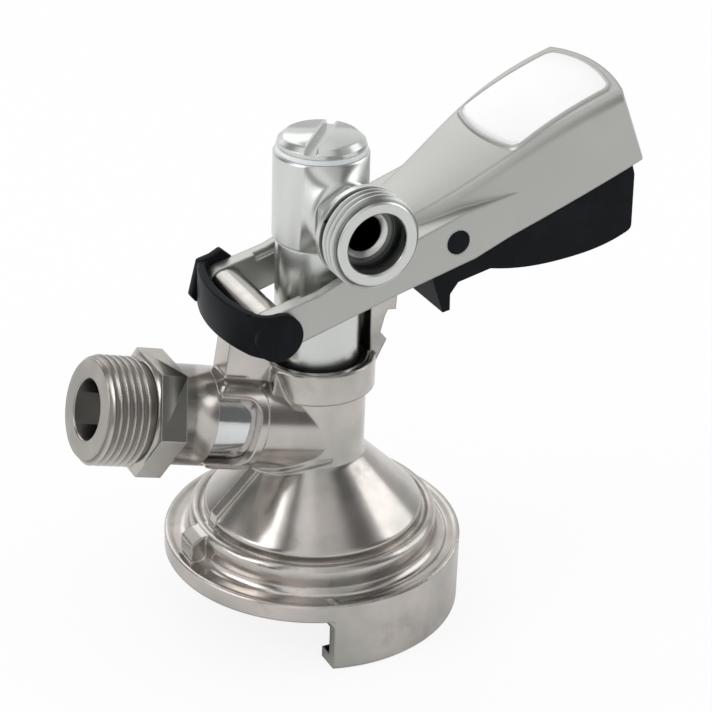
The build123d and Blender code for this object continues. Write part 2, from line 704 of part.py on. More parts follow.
with BuildPart() as lever_arm:
    with BuildSketch(lever_side) as arm_profile:
        with BuildLine():
            Polyline((0, arm_bottom - 0.8), (32, arm_bottom), (66, arm_bottom), (grip_end - 4, hood_foot),
                     (grip_end - 4, 4), (66, 8.0), (54, 8.7), (38.6, 7.5), (24, 6.5), (12.85, 4.9),
                     (0, hub_radius), close=True)
        make_face()
        Circle(hub_radius)
    extrude(amount=arm_outer, both=True)
    hood_block = hood(0, hood_foot)
    add(hood_block)
    add(grip_plan(0), mode=Mode.INTERSECT)
    # hollow of the hood, then the wider room for the trigger, then the fork gap
    behind_wall = Solid.make_box(70, 60, 60, Plane(
        origin=lever_point(crotch_u + front_wall, -20, -30), x_dir=along, z_dir=square))
    add(hood(hood_wall, -12) & behind_wall & grip_plan(hood_wall), mode=Mode.SUBTRACT)
    with BuildSketch(lever_side):
        with BuildLine():
            Polyline((crotch_u + front_wall, -12), (crotch_u + front_wall, 6.6), (60, 6.9),
                     (grip_end - 4.2, 12.0), (grip_end - 3.4, -12), close=True)
        make_face()
    extrude(amount=trigger_half + trigger_gap, both=True, mode=Mode.SUBTRACT)
    gap_plane = Plane(origin=pivot + square * -12, x_dir=along, z_dir=square)
    with BuildSketch(gap_plane) as fork_gap:
        with Locations(((crotch_u - 30) / 2, 0)):
            RectangleRounded(crotch_u + 30, 2 * arm_inner, 5.2)
    extrude(amount=40, mode=Mode.SUBTRACT)
    # shallow recess in the inner side of each arm, over a ledge
    with BuildSketch(lever_side) as arm_recess:
        with Locations(((hub_radius + crotch_u) / 2 + 1, arm_recess_foot + 5)):
            Rectangle(crotch_u - hub_radius - 6, 10)
        fillet(arm_recess.vertices().sort_by(Axis.Z)[:2], 1.5)
    extrude(amount=arm_inner + arm_recess_depth, both=True, mode=Mode.SUBTRACT)
    # way for the latch nose under the front wall
    with BuildSketch(lever_side):
        with Locations((crotch_u + front_wall / 2, -7)):
            Rectangle(front_wall + 4, 12)
    extrude(amount=nose_half + 1.4, both=True, mode=Mode.SUBTRACT)
    # pin holes and the blind slots that drive the probe
    with BuildSketch(lever_side):
        Circle(pivot_pin_radius + fit_gap)
        with Locations((trigger_pin_u, trigger_pin_v)):
            Circle(trigger_pin_radius + fit_gap)
    extrude(amount=arm_outer + 3, both=True, mode=Mode.SUBTRACT)
    slot_low = -pivot_x - drive_pin_radius - slot_clearance
    slot_high = -pivot_x / cos(radians(lever_stroke - lever_tilt)) + drive_pin_radius + slot_clearance
    with BuildSketch(lever_side):
        with Locations(((slot_low + slot_high) / 2, 0)):
            SlotOverall(slot_high - slot_low, 2 * (drive_pin_radius + slot_clearance))
    extrude(amount=drive_pin_reach + moving_gap, both=True, mode=Mode.SUBTRACT)
finish(lever_arm, "lever_arm")

with BuildPart() as label_plate:
    with BuildSketch(Plane(origin=pivot, x_dir=along, z_dir=square)) as label_outline:
        with BuildLine():
            half = label_width / 2
            ThreePointArc((label_start + 2, -half), (label_start, 0), (label_start + 2, half))
            Line((label_start + 2, half), (label_end - 2, half))
            ThreePointArc((label_end - 2, half), (label_end, 0), (label_end - 2, -half))
            Line((label_end - 2, -half), (label_start + 2, -half))
        make_face()
        fillet(label_outline.vertices(), 2.4)
    column = extrude(amount=40, mode=Mode.PRIVATE)
    raised_hood = hood_block.moved(Location(square * label_thickness))
    add((column & raised_hood) - hood_block)
finish(label_plate, "label_plate")

with BuildPart() as pivot_pin:
    with BuildSketch(Plane.XZ):
        with Locations((pivot_x, pivot_z)):
            Circle(pivot_pin_radius)
    extrude(amount=arm_outer - 0.1, both=True)
finish(pivot_pin, "pivot_pin")

with BuildPart() as pivot_strap:
    inner_x = pivot_x - hub_radius - 1.1
    outer_x = inner_x - strap_thickness
    cap_inner = arm_outer + 0.1
    cap_outer = cap_inner + cap_disc_thickness
    with BuildSketch(Plane.XY.offset(pivot_z - strap_half_height)) as strap_plan:
        with BuildLine():
            Polyline((pivot_x, -cap_outer), (outer_x + 2.0, -cap_outer), (outer_x, -arm_inner))
            ThreePointArc((outer_x, -arm_inner), (outer_x - 0.7, 0), (outer_x, arm_inner))
            Polyline((outer_x, arm_inner), (outer_x + 2.0, cap_outer), (pivot_x, cap_outer),
                     (pivot_x, cap_inner), (inner_x, cap_inner), (inner_x, -cap_inner),
                     (pivot_x, -cap_inner), (pivot_x, -cap_outer))
        make_face()
        for side in (-1, 1):
            fillet(corner(strap_plan, outer_x + 2.0, side * cap_outer), 5.6)
            fillet(corner(strap_plan, inner_x, side * cap_inner), 1.0)
    extrude(amount=2 * strap_half_height)
    for side in (-1, 1):
        with BuildSketch(Plane.XZ.offset(side * cap_inner)):
            with Locations((pivot_x, pivot_z)):
                Circle(cap_disc_radius)
        extrude(amount=side * cap_disc_thickness)
    # thumb tab on the far cap
    with BuildSketch(Plane.XZ.offset(-cap_inner)):
        with BuildLine():
            Polyline((pivot_x - 6.2, pivot_z), (pivot_x - 5.4, pivot_z + 6.6), (pivot_x + 0.6, pivot_z + 8.4),
                     (pivot_x + 4.0, pivot_z + 5.4), (pivot_x + 4.0, pivot_z), close=True)
        make_face()
    extrude(amount=-cap_disc_thickness)
finish(pivot_strap, "pivot_strap")

# -------------------------------------------------------------------- trigger
with BuildPart() as trigger:
    with BuildSketch(lever_side) as trigger_profile:
        with BuildLine():
            tail = (trigger_pin_u + 7.9, -10.4)
            Polyline((trigger_pin_u - 5.1, -16.4), (trigger_pin_u - 4.1, -12.2),
                     (trigger_pin_u - 1.3, -10.0), tail)
            Spline(tail, (trigger_pin_u + 18.2, -14.8), (trigger_corner_u - 19.3, -17.5),
                   (trigger_corner_u - 8, trigger_floor - 0.9), (trigger_corner_u, trigger_floor))
            Polyline((trigger_corner_u, trigger_floor), (grip_end - 5.2, -3.2), (grip_end - 5.4, 0.8),
                     (trigger_pin_u + 9.5, 3.6), (trigger_pin_u, trigger_pin_v),
                     (trigger_pin_u - 5.3, 1.6), (trigger_pin_u - 7.9, -4.6),
                     (trigger_pin_u - 7.1, -16.2), (trigger_pin_u - 5.1, -16.4))
        make_face()
        fillet(corner(trigger_profile, trigger_corner_u, trigger_floor), 1.8)
        with Locations((trigger_pin_u, trigger_pin_v)):
            Circle(4.4)
    extrude(amount=trigger_half, both=True)
    # hollow from above, leaving side walls, floor and the pin boss
    with BuildSketch(lever_side) as trigger_hollow:
        with BuildLine():
            Polyline((trigger_pin_u + 6.5, 8), (trigger_pin_u + 6.5, -7.4),
                     (trigger_spring_u - 5.5, trigger_spring_seat),
                     (trigger_spring_u + 5.5, trigger_spring_seat),
                     (trigger_spring_u + 7, trigger_floor + 2.8),
                     (trigger_corner_u - 8, trigger_floor + 1.8),
                     (trigger_corner_u - 1.5, trigger_floor + 2.6),
                     (grip_end - 7.6, -3), (grip_end - 7.6, 8), close=True)
        make_face()
    extrude(amount=trigger_half - 2.2, both=True, mode=Mode.SUBTRACT)
    # latch nose
    with BuildSketch(lever_side) as nose:
        with BuildLine():
            Polyline((latch_radius + 0.1, -3.0), (latch_radius + 1.4, -7.6), (latch_radius + 3.3, -9.4),
                     (latch_radius + 5.8, -9.4), (latch_radius + 5.8, -2.6), (latch_radius + 4.8, -2.2),
                     close=True)
        make_face()
    extrude(amount=nose_half, both=True)
    with BuildSketch(lever_side):
        with Locations((trigger_pin_u, trigger_pin_v)):
            Circle(trigger_pin_radius + running_gap)
    extrude(amount=arm_outer, both=True, mode=Mode.SUBTRACT)
finish(trigger, "trigger")

with BuildPart() as trigger_pin:
    with BuildSketch(lever_side):
        with Locations((trigger_pin_u, trigger_pin_v)):
            Circle(trigger_pin_radius)
    extrude(amount=arm_outer, both=True)
finish(trigger_pin, "trigger_pin")

# spring between its seat in the trigger's floor and the roof of the hood
with BuildPart() as trigger_spring:
    spring_length = trigger_spring_roof - trigger_spring_seat - running_gap
    add(coil(lever_point(trigger_spring_u, trigger_spring_seat + running_gap), square, spring_length,
             trigger_spring_radius, spring_wire, 6))
finish(trigger_spring, "trigger_spring")
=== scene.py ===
import math

import bmesh
import bpy
from mathutils import Matrix, Vector
from mathutils.bvhtree import BVHTree


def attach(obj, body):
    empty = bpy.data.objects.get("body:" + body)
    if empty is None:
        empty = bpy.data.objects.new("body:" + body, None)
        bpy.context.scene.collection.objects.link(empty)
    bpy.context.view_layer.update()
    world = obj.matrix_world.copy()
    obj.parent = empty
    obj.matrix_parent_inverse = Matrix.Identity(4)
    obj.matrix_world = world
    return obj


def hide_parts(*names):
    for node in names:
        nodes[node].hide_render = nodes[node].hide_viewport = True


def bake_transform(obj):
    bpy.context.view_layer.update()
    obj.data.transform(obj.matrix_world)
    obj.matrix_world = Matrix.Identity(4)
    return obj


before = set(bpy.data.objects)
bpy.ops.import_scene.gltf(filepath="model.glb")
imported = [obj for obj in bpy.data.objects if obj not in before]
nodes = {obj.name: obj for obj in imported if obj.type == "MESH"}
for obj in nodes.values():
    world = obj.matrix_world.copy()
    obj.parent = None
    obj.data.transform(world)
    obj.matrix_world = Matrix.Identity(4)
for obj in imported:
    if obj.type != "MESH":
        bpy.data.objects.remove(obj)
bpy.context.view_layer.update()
mm = 0.001
mergeDistance = 1e-6
planeSlack = 1e-7
loopSlack = 1e-5


# a shader socket that takes part in plain arithmetic
class Signal:
    def __init__(self, paint, socket):
        self.paint, self.socket = paint, socket

    def combine(self, operation, other):
        return self.paint.node("ShaderNodeMath", {"operation": operation}, {0: self, 1: other})

    def __add__(self, other):
        return self.combine("ADD", other)

    def __sub__(self, other):
        return self.combine("SUBTRACT", other)

    def __mul__(self, other):
        return self.combine("MULTIPLY", other)

    def __gt__(self, other):
        return self.combine("GREATER_THAN", other)

    def __lt__(self, other):
        return self.combine("LESS_THAN", other)


# one node tree: a finish, the floor's or the room's
class Paint:
    def __init__(self, tree, shader=None, constants=None):
        self.tree, self.shader = tree, shader
        for name, value in (constants or {}).items():
            shader.inputs[name].default_value = value

    def node(self, kind, settings, inputs, output=0):
        made = self.tree.nodes.new(kind)
        for name, value in settings.items():
            if name == "stops":
                ramp = made.color_ramp
                while len(ramp.elements) < len(value):
                    ramp.elements.new(0.5)
                for element, (place, colour) in zip(ramp.elements, value):
                    element.position = place
                    element.color = colour
            else:
                setattr(made, name, value)
        for name, value in inputs.items():
            self.feed(made.inputs[name], value)
        return Signal(self, made.outputs[output])

    def feed(self, socket, value):
        if isinstance(value, Signal):
            self.tree.links.new(value.socket, socket)
        else:
            socket.default_value = value

    def place(self):
        return self.node("ShaderNodeTexCoord", {}, {}, "Object")

    def noise(self, scale, detail=2.0, roughness=0.5):
        return self.node("ShaderNodeTexNoise", {}, {
            "Vector": self.place(), "Scale": scale, "Detail": detail, "Roughness": roughness})

    def ramp(self, signal, stops):
        return self.node("ShaderNodeValToRGB", {"stops": [
            (place, (level, level, level, 1)) for place, level in stops]}, {"Fac": signal})

    def blend(self, mask, first, second):
        return self.node("ShaderNodeMix", {"data_type": "RGBA"}, {0: mask, 6: first, 7: second}, 2)

    # relief over edges whose look is rounded to the given radius
    def bump(self, height, strength, distance, radius):
        softened = self.node("ShaderNodeBevel", {"samples": 6}, {"Radius": radius})
        return self.node("ShaderNodeBump", {}, {
            "Height": height, "Strength": strength, "Distance": distance, "Normal": softened})

    def feedShader(self, colour, roughness, normal):
        for name, value in (("Base Color", colour), ("Roughness", roughness), ("Normal", normal)):
            self.feed(self.shader.inputs[name], value)


def newPaint(name, constants):
    material = bpy.data.materials.new(name)
    material.use_nodes = True
    paint = Paint(material.node_tree, material.node_tree.nodes["Principled BSDF"], constants)
    paint.material = material
    return paint


castValues = {"light": (0.57, 0.528, 0.500, 1), "dark": (0.41, 0.405, 0.375, 1),
              "stain": (0.25, 0.215, 0.195, 1), "softEdge": 0.9 * mm, "clouds": 60, "stains": 80,
              "swells": 140, "grains": 1300, "grainHeight": 0.004, "relief": 0.30,
              "reliefHeight": 0.10 * mm}


def castFinish(name, values, roughness, darkeningAndBoreShade=None):
    paint = newPaint(name, {"Metallic": 1.0})
    cloud = paint.ramp(paint.noise(values["clouds"], 3, 0.55), [(0.36, 0), (0.64, 1)])
    grain = paint.noise(values["grains"], 3, 0.6)
    swell = paint.noise(values["swells"], 1.5)
    stainMask = paint.ramp(paint.noise(values["stains"], 4, 0.6), [(0.60, 0), (0.78, 0.6)])
    colour = paint.blend(cloud, values["dark"], values["light"])
    colour = paint.blend(stainMask, colour, values["stain"])
    rough = grain * 0.03 + swell * 0.08 + stainMask * 0.15 + roughness
    if darkeningAndBoreShade:
        # the thread's valleys and end face drawn darker, and painted shade inside its bore
        mask, hollow, front = threadDarkeningAndBoreShade(paint, darkeningAndBoreShade)
        colour = paint.blend(mask, colour, darkeningAndBoreShade["colour"])
        colour = paint.blend(hollow * darkeningAndBoreShade["hollow"], colour, darkeningAndBoreShade["dark"])
        colour = paint.blend(front * darkeningAndBoreShade["frontAmount"], colour, darkeningAndBoreShade["colour"])
        rough = rough + mask * 0.15 + hollow * 0.1
    paint.feedShader(colour, rough, paint.bump(
        swell + grain * values["grainHeight"], values["relief"], values["reliefHeight"], values["softEdge"]))
    return paint.material


# how far the shaded point lies along an axis, and how far out from it
def alongAxis(paint, origin, axis):
    arm = paint.node("ShaderNodeVectorMath", {"operation": "SUBTRACT"}, {0: paint.place(), 1: origin})
    travel = paint.node("ShaderNodeVectorMath", {"operation": "DOT_PRODUCT"}, {0: arm, 1: axis}, "Value")
    cross = paint.node("ShaderNodeVectorMath", {"operation": "CROSS_PRODUCT"}, {0: arm, 1: axis})
    return travel, paint.node("ShaderNodeVectorMath", {"operation": "LENGTH"}, {0: cross}, "Value")


# masks for the darker valleys of a thread, the painted shade inside its bore, and its darker end face
def threadDarkeningAndBoreShade(paint, darkeningAndBoreShade):
    travel, reach = alongAxis(paint, darkeningAndBoreShade["start"], darkeningAndBoreShade["way"])
    valley = paint.ramp(reach * (1 / darkeningAndBoreShade["crest"]),
                        [(0.72, 0), (0.74, 1), (darkeningAndBoreShade["valley"], 1), (0.985, 0)])
    short = travel < darkeningAndBoreShade["face"]
    return (valley * short * (travel > darkeningAndBoreShade["begin"]) * darkeningAndBoreShade["amount"],
            (reach < darkeningAndBoreShade["bore"]) * short * (travel > darkeningAndBoreShade["boreBegin"]), travel > darkeningAndBoreShade["front"])


turnedValues = {"light": (0.66, 0.675, 0.655, 1), "dark": (0.56, 0.575, 0.56, 1), "softEdge": 0.25 * mm,
                "lines": 3200, "clouds": 70, "waves": 150, "wave": 0.0, "relief": 0.08,
                "reliefHeight": 0.02 * mm}


# tool marks of a lathe: they change along the axis and with the distance from it, never round it
def turnedLines(paint, scale, origin, axis):
    travel, reach = alongAxis(paint, origin, axis)
    where = paint.node("ShaderNodeCombineXYZ", {}, {0: travel, 1: reach})
    return paint.node("ShaderNodeTexNoise", {}, {
        "Vector": where, "Scale": scale, "Detail": 3.0, "Roughness": 0.6})


def turnedFinish(name, values, roughness, darkeningAndBoreShade=None):
    paint = newPaint(name, {"Metallic": 1.0, "Anisotropic": 0.55, "Anisotropic Rotation": 0.25})
    lines = turnedLines(paint, values["lines"], (0, 0, 0), (0, 0, 1))
    cloud = paint.noise(values["clouds"], 2)
    if darkeningAndBoreShade:
        mask, hollow, _ = threadDarkeningAndBoreShade(paint, darkeningAndBoreShade)
        # past the spout's root the marks run round its own axis
        across = turnedLines(paint, values["lines"], darkeningAndBoreShade["start"], darkeningAndBoreShade["way"])
        split = paint.node("ShaderNodeSeparateXYZ", {}, {0: paint.place()}, 1) * -1 > darkeningAndBoreShade["spout"]
        lines = lines + (across - lines) * split
    colour = paint.blend(cloud * 0.6 + lines * 0.4, values["dark"], values["light"])
    rough = lines * 0.10 + cloud * 0.06 + roughness
    if darkeningAndBoreShade:
        # the thread's valleys drawn darker, and painted shade inside its bore
        colour = paint.blend(mask, colour, darkeningAndBoreShade["colour"])
        colour = paint.blend(hollow * darkeningAndBoreShade["hollow"], colour, darkeningAndBoreShade["dark"])
        rough = rough + mask * 0.1
    height = lines + paint.noise(values["waves"], 1) * values["wave"]
    paint.feedShader(colour, rough, paint.bump(
        height, values["relief"], values["reliefHeight"], values["softEdge"]))
    return paint.material


leverValues = {"light": (0.49, 0.485, 0.465, 1), "dark": (0.41, 0.425, 0.400, 1),
               "smudge": (0.45, 0.44, 0.42, 1), "softEdge": 0.9 * mm, "clouds": 45, "smudges": 70,
               "grains": 2200, "relief": 0.10, "reliefHeight": 0.03 * mm, "roughness": 0.33}


def leverFinish(name, values):
    paint = newPaint(name, {"Metallic": 1.0})
    cloud = paint.noise(values["clouds"], 3)
    grain = paint.noise(values["grains"], 2, 0.6)
    smudge = paint.ramp(paint.noise(values["smudges"], 3, 0.6), [(0.60, 0), (0.75, 0.25)])
    colour = paint.blend(cloud, values["dark"], values["light"])
    paint.feedShader(
        paint.blend(smudge, colour, values["smudge"]),
        grain * 0.10 + cloud * 0.06 + values["roughness"],
        paint.bump(grain, values["relief"], values["reliefHeight"], values["softEdge"]))
    return paint.material


plasticValues = {"black": (0.0075, 0.0090, 0.0110, 1), "worn": (0.013, 0.015, 0.018, 1),
                 "softEdge": 0.35 * mm, "scuffs": 110, "grains": 2600, "relief": 0.16,
                 "reliefHeight": 0.04 * mm}


def plasticFinish(name, values, roughness):
    paint = newPaint(name, {"Metallic": 0.0, "Specular IOR Level": 0.05})
    grain = paint.noise(values["grains"], 2, 0.6)
    scuff = paint.ramp(paint.noise(values["scuffs"], 4, 0.6), [(0.5, 0), (0.8, 1)])
    paint.feedShader(
        paint.blend(scuff, values["black"], values["worn"]),
        grain * 0.12 + scuff * 0.08 + roughness,
        paint.bump(grain, values["relief"], values["reliefHeight"], values["softEdge"]))
    return paint.material


plainValues = {"softEdge": 0.15 * mm, "clouds": 120, "grains": 1800, "relief": 0.06,
               "reliefHeight": 0.02 * mm}


def plainFinish(name, values, first, second, constants, roughness):
    paint = newPaint(name, constants)
    cloud = paint.noise(values["clouds"], 3)
    grain = paint.noise(values["grains"], 2)
    paint.feedShader(paint.blend(cloud, first, second), grain * 0.08 + roughness,
                     paint.bump(grain, values["relief"], values["reliefHeight"], values["softEdge"]))
    return paint.material


# the gas inlet's and the outlet's axes, which the threads share with their darker valleys and the painted
# shade in their bores
gasTilt = math.radians(16)
gasWay = Vector((-math.cos(gasTilt), 0, math.sin(gasTilt)))
gasOrigin = Vector((0, 0, 49.16 * mm))
outletWay = Vector((0, -1, 0))
outletOrigin = Vector((0, 0, 110.2 * mm))
gasCrest = 13.22 * mm
outletCrest = 11.456 * mm
# in each thread's settings, "colour" darkens the valleys and the end face, and "dark" is the painted shade
# inside the bore
gasDarkeningAndBoreShade = {"start": gasOrigin, "way": gasWay, "crest": gasCrest, "valley": 0.925, "begin": 50.2 * mm,
            "face": 62.7 * mm, "amount": 0.7, "colour": (0.12, 0.10, 0.085, 1), "bore": 7.4 * mm,
            "boreBegin": 20 * mm, "front": 62.8 * mm, "dark": (0.045, 0.042, 0.038, 1), "hollow": 0.93,
            "frontAmount": 0.35}
outletDarkeningAndBoreShade = {"start": outletOrigin, "way": outletWay, "crest": outletCrest, "valley": 0.915,
               "begin": 21.6 * mm, "face": 28.9 * mm, "amount": 0.85, "colour": (0.13, 0.135, 0.125, 1),
               "bore": 7.7 * mm, "boreBegin": 23.0 * mm, "front": 40 * mm,
               "dark": (0.05, 0.055, 0.05, 1), "hollow": 0.85, "spout": 12.3 * mm}
bodySteel = castFinish("bodySteel", castValues, 0.13)
nippleSteel = castFinish("nippleSteel", {**castValues, "softEdge": 0.3 * mm}, 0.18, gasDarkeningAndBoreShade)
probeSteel = turnedFinish("probeSteel", turnedValues, 0.16)
outletSteel = turnedFinish("outletSteel", {**turnedValues, "light": (0.72, 0.73, 0.71, 1)}, 0.22,
                           outletDarkeningAndBoreShade)
sleeveChrome = turnedFinish("sleeveChrome", {**turnedValues, "light": (0.78, 0.80, 0.82, 1), "lines": 900,
                                             "wave": 60.0}, 0.02)
leverNickel = leverFinish("leverNickel", leverValues)
patchNickel = leverFinish("patchNickel", {**leverValues, "softEdge": 0.01 * mm})
labelWhite = plainFinish("labelWhite", plainValues, (0.86, 0.86, 0.86, 1), (0.90, 0.90, 0.90, 1),
                         {"Coat Weight": 0.5, "Coat Roughness": 0.08}, 0.28)
strapBlack = plasticFinish("strapBlack", plasticValues, 0.34)
triggerBlack = plasticFinish("triggerBlack", plasticValues, 0.40)
sealBlack = plasticFinish("sealBlack", {**plasticValues, "worn": (0.02, 0.02, 0.02, 1)}, 0.5)
washerWhite = plainFinish("washerWhite", plainValues, (0.74, 0.78, 0.79, 1), (0.82, 0.85, 0.86, 1),
                          {"Subsurface Weight": 0.3, "Subsurface Radius": (0.002, 0.002, 0.002)}, 0.3)
springWire = plainFinish("springWire", plainValues, (0.50, 0.50, 0.50, 1), (0.62, 0.62, 0.62, 1),
                         {"Metallic": 1.0}, 0.22)
bushBronze = plainFinish("bushBronze", plainValues, (0.46, 0.28, 0.13, 1), (0.55, 0.35, 0.17, 1),
                         {"Metallic": 1.0}, 0.3)

nodeFinishes = {
    "body_casting": bodySteel, "gas_nipple": nippleSteel, "gas_check_seat": probeSteel,
    "gas_check_retainer": probeSteel, "gas_sleeve": sleeveChrome, "gas_check_ball": sleeveChrome,
    "probe_body": probeSteel, "drive_pins": probeSteel, "pivot_pin": probeSteel,
    "head_cap_screw": probeSteel, "probe_tip_ring": probeSteel, "outlet_head": outletSteel,
    "lever_arm": leverNickel, "label_plate": labelWhite, "pivot_strap": strapBlack,
    "trigger": triggerBlack, "trigger_pin": strapBlack, "keg_seal": sealBlack, "neck_wiper": sealBlack,
    "gas_sleeve_o_ring": sealBlack, "piston_o_ring": sealBlack, "head_o_rings": sealBlack,
    "probe_tip_seal": sealBlack, "cap_washer": washerWhite, "head_washer": washerWhite,
    "gas_check_spring": springWire, "trigger_spring": springWire, "pivot_bushes": bushBronze}
for name, material in nodeFinishes.items():
    if not nodes[name].data.materials:
        nodes[name].data.materials.append(material)
    for slot in nodes[name].material_slots:
        slot.material = material
print("finishes made:", len(nodeFinishes), "solids painted")


# a node's own mesh, with its seams merged
def copyOf(node):
    bm = bmesh.new()
    bm.from_mesh(nodes[node].data)
    bmesh.ops.remove_doubles(bm, verts=bm.verts, dist=mergeDistance)
    return bm


def only(kind, geometry):
    return [item for item in geometry if isinstance(item, kind)]


# keeps the side of a plane that its normal points away from
def trim(bm, place, normal):
    bmesh.ops.bisect_plane(bm, geom=bm.verts[:] + bm.edges[:] + bm.faces[:], dist=planeSlack,
                           plane_co=place, plane_no=normal, clear_outer=True)


# boundary edges that lie in one plane
def openLoop(bm, point, way):
    return [edge for edge in bm.edges if edge.is_boundary
            and all(abs((vert.co - point).dot(way)) < loopSlack for vert in edge.verts)]


def radiusOf(vert, point, way):
    arm = vert.co - point
    return (arm - way * arm.dot(way)).length


leadTurns = 1.3
runSlope = 1.2


def threadedEnd(name, node, body, material, values):
    way, start = values["way"], values["cut"]
    neck = values.get("neck", 0)
    aside = way.orthogonal().normalized()
    pitch, steps = values["pitch"], values["steps"]
    crest = values["radius"]
    root = crest - values["depth"]
    # the solid's own shape up to the cut
    bm = copyOf(node)
    trim(bm, start, way)
    if neck:
        # the neck runs on to the thread, and the bore ends in a cone inside it
        rim = [edge for edge in openLoop(bm, start, way)
               if radiusOf(edge.verts[0], start, way) > values["split"]]
        drawn = bmesh.ops.extrude_edge_only(bm, edges=rim)["geom"]
        start = start + way * neck
        bmesh.ops.translate(bm, vec=way * neck, verts=only(bmesh.types.BMVert, drawn))
    # one tooth, spun and drawn along the axis, then trimmed square at both ends
    thread = bmesh.new()
    tooth = [(0, root), (0.10, root), (0.40, crest), (0.60, crest), (0.90, root), (1.0, root)]
    verts = [thread.verts.new(start + way * (pitch * (along - leadTurns)) + aside * height)
             for along, height in tooth]
    edges = [thread.edges.new(pair) for pair in zip(verts, verts[1:])]
    turns = int(values["length"] / pitch) + 3
    bmesh.ops.spin(thread, geom=verts + edges, cent=start, axis=way, dvec=way * (pitch / steps),
                   angle=2 * math.pi * turns, steps=steps * turns, use_merge=False)
    bmesh.ops.remove_doubles(thread, verts=thread.verts, dist=mergeDistance)
    end = start + way * values["length"]
    trim(thread, start, -way)
    trim(thread, end, way)
    for vert in thread.verts:
        travel = (vert.co - start).dot(way)
        limit = min(crest, root + max(0.0, travel - values["runIn"]) * runSlope,
                    root - values["chamfer"] + values["length"] - travel)
        reach = radiusOf(vert, start, way)
        if reach > limit:
            centre = start + way * travel
            vert.co = centre + (vert.co - centre) * (limit / reach)
    # mouth and bore, spun from their outline
    mouth = [thread.verts.new(start + way * along + aside * radius) for along, radius in values["mouth"]]
    mouthEdges = [thread.edges.new(pair) for pair in zip(mouth, mouth[1:])]
    bmesh.ops.spin(thread, geom=mouth + mouthEdges, cent=start, axis=way, dvec=(0, 0, 0),
                   angle=2 * math.pi, steps=steps, use_merge=True)
    bmesh.ops.bridge_loops(thread, edges=openLoop(thread, end, way))
    swap = bpy.data.meshes.new("swap")
    thread.to_mesh(swap)
    thread.free()
    bm.from_mesh(swap)
    bpy.data.meshes.remove(swap)
    rims = openLoop(bm, start, way)
    if neck:
        rims += openLoop(bm, values["cut"], way)
    for outer in (True, False):
        loops = [edge for edge in rims
                 if (radiusOf(edge.verts[0], start, way) > values["split"]) == outer]
        bmesh.ops.bridge_loops(bm, edges=loops)
    bmesh.ops.remove_doubles(bm, verts=bm.verts, dist=mergeDistance)
    bmesh.ops.recalc_face_normals(bm, faces=bm.faces)
    return finishPiece(name, bm, body, material, node, angle=20)


def finishPiece(name, bm, body, material, *replaced, angle=32):
    mesh = bpy.data.meshes.new(name)
    bm.to_mesh(mesh)
    bm.free()
    mesh.polygons.foreach_set("use_smooth", [True] * len(mesh.polygons))
    mesh.set_sharp_from_angle(angle=math.radians(angle))
    piece = bpy.data.objects.new(name, mesh)
    bpy.context.scene.collection.objects.link(piece)
    mesh.materials.append(material)
    if body:
        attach(piece, body)
    if replaced:
        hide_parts(*replaced)
    print("piece made:", name, len(mesh.polygons), "faces")
    return piece


gasThread = {"way": gasWay, "cut": gasOrigin + gasWay * 50.3 * mm, "length": 12.7 * mm, "radius": gasCrest,
             "depth": 1.16 * mm, "pitch": 1.814 * mm, "steps": 72, "runIn": 1.0 * mm, "chamfer": 0.14 * mm,
             "split": 10.2 * mm, "mouth": [(12.7 * mm, 7.6 * mm), (12.2 * mm, 7.09 * mm), (0, 7.09 * mm)]}
threadedEnd("gasInletNipple", "gas_nipple", "coupler_body", nippleSteel, gasThread)

outletThread = {"way": outletWay, "cut": outletOrigin + outletWay * 21.0 * mm, "neck": 0.9 * mm,
                "length": 7.4 * mm, "radius": outletCrest, "depth": 1.16 * mm, "pitch": 1.814 * mm,
                "steps": 72, "runIn": 0.0, "chamfer": 0.3 * mm, "split": 7.0 * mm,
                "mouth": [(7.4 * mm, 7.9 * mm), (7.0 * mm, 7.48 * mm), (1.5 * mm, 7.48 * mm),
                          (1.5 * mm, 6.3 * mm), (-0.8 * mm, 3.5 * mm), (-0.9 * mm, 3.5 * mm)]}
threadedEnd("beerOutletHead", "outlet_head", "beer_head", outletSteel, outletThread)


# the lever's own frame: its pivot, the way along it and the way out of its back
leverTilt = math.radians(15)
leverPivot = Vector((-18.9, 0, 84.9)) * mm
leverAlong = Vector((math.cos(leverTilt), 0, math.sin(leverTilt)))
leverOut = Vector((-math.sin(leverTilt), 0, math.cos(leverTilt)))
strapValues = {"pivot": leverPivot, "half": 17.35 * mm, "thick": 2.2 * mm, "low": -5.4 * mm,
               "high": 6.0 * mm, "start": 1.5 * mm, "corner": 4.4 * mm, "swing": 20, "disc": 6.0 * mm,
               "discFrom": 16.1 * mm, "discTo": 18.6 * mm, "edge": 0.5 * mm, "rise": 0.9 * mm,
               "riseReach": 6 * mm,
               "tab": [(3.9, 0), (3.8, 5.4), (0.6, 8.3), (-2.1, 6.9), (-5.5, 6.1), (-7.7, -3.0), (-6.4, -4.6),
                       (0, -6.0)]}


def sharpEdges(bm, angle=50):
    return [edge for edge in bm.edges if edge.is_manifold and edge.calc_face_angle(0) > math.radians(angle)]


